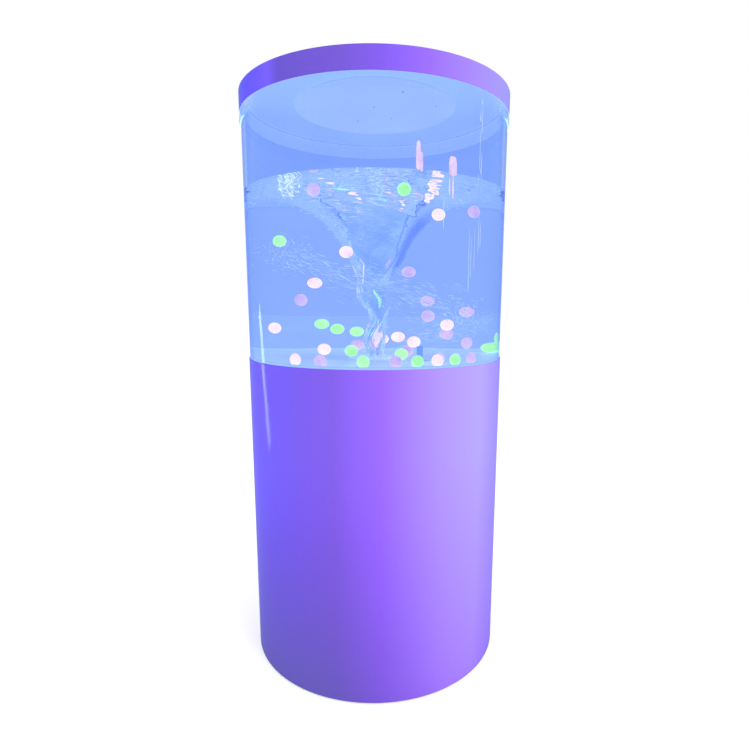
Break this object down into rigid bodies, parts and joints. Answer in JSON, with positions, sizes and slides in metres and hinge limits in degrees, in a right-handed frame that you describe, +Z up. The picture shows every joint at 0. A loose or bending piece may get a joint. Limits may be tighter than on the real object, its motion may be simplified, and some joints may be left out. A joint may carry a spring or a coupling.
{
  "type": "sensory tornado tube",
  "caption": "Upright clear water tube on a glossy violet base, with a lift-off lid, a lit tank floor and coloured balls carried round a vortex.",
  "frame": {"origin": "on the floor under the middle of the tube", "axes": "+Z up along the tube, +Y out of the back with the sockets and the hatch, +X to the right seen from the front"},
  "size_m": [0.4048, 0.4048, 0.865],
  "materials": {
    "clear_acrylic": "clear polished acrylic",
    "violet_acrylic": "glossy violet sleeve sheet",
    "white_acrylic": "translucent white acrylic",
    "white_pvc": "moulded and turned plastic",
    "grey_plastic": "moulded pipe fittings",
    "black_plastic": "moulded, satin",
    "blue_plastic": "moulded jet nozzle",
    "red_plastic": "moulded rocker",
    "rubber": "soft rubber",
    "silicone": "translucent silicone",
    "hose": "reinforced hose",
    "steel": "stainless steel",
    "copper_steel": "laminated core with windings",
    "brass": "plated brass",
    "aluminium": "turned and anodised",
    "circuit_board": "solder-masked board",
    "light_board": "white solder mask",
    "light_chip": "light emitting diode",
    "water": "clear water",
    "green_ball": "hollow floating ball",
    "white_ball": "hollow floating ball",
    "pink_ball": "hollow floating ball"
  },
  "bodies": {
    "base": {"tube": "clear_acrylic", "base_sleeve": "violet_acrylic", "tank_floor": "white_acrylic", "floor_sealant": "silicone", "support_ring": "white_pvc", "support_posts": "white_pvc", "base_plate": "white_pvc", "feet": "rubber", "case_screws": "steel", "hatch_frame": "white_pvc", "hatch_panel": "violet_acrylic", "connector_panel": "black_plastic", "power_inlet": "black_plastic", "inlet_pins": "brass", "switch_body": "black_plastic", "button_body": "steel", "power_supply": "aluminium", "control_board": "circuit_board", "board_parts": "black_plastic", "led_carrier": "aluminium", "led_board": "light_board", "led_chips": "light_chip", "wiring_leads": "rubber", "drain_fitting": "white_pvc", "drain_strainer": "white_pvc", "lock_nuts": "grey_plastic", "fitting_gaskets": "rubber", "suction_hoses": "hose", "drain_tee": "grey_plastic", "valve_body": "grey_plastic", "hose_clamps": "steel", "pump_bracket": "steel", "pump_screws": "steel", "motor_end_cap": "aluminium", "motor_can": "black_plastic", "motor_stator": "copper_steel", "shaft_bearings": "steel", "shaft_seal": "rubber", "volute_body": "grey_plastic", "volute_cover": "grey_plastic", "return_elbow": "grey_plastic", "return_hose": "hose", "jet_fitting": "white_pvc", "jet_nozzle": "blue_plastic"},
    "lid": {"lid_plate": "violet_acrylic", "lid_skirt": "clear_acrylic", "lid_band": "violet_acrylic", "lid_gasket": "silicone", "lid_disc": "white_acrylic"},
    "swirl": {"water_fill": "water", "green_balls": "green_ball", "white_balls": "white_ball", "pink_balls": "pink_ball"},
    "pump_rotor": {"motor_rotor": "steel", "impeller": "white_pvc"},
    "rocker": {"switch_rocker": "red_plastic"},
    "mode_button": {"button_cap": "steel"},
    "drain_valve": {"valve_ball": "brass", "valve_lever": "steel"}
  },
  "joints": [
    {"name": "lid_lift", "type": "slide", "parent": "base", "child": "lid", "axis": [0, 0, 1], "range_m": [0, 0.25]},
    {"name": "water_swirl", "type": "hinge", "parent": "base", "child": "swirl", "pos_m": [0, 0, 0.482], "axis": [0, 0, 1], "continuous": true},
    {"name": "pump_spin", "type": "hinge", "parent": "base", "child": "pump_rotor", "pos_m": [0, 0, 0.104], "axis": [0, 0, 1], "continuous": true},
    {"name": "power_rocker", "type": "hinge", "parent": "base", "child": "rocker", "pos_m": [0.012, 0.188, 0.1], "axis": [-1, 0, 0], "range_deg": [0, 16]},
    {"name": "mode_press", "type": "slide", "parent": "base", "child": "mode_button", "axis": [0, -1, 0], "range_m": [0, 0.0025], "stiffness_N_per_m": 400, "springref_m": -0.001},
    {"name": "drain_turn", "type": "hinge", "parent": "base", "child": "drain_valve", "pos_m": [0, 0.078, 0.257], "axis": [0, 0, 1], "range_deg": [0, 90]}
  ]
}
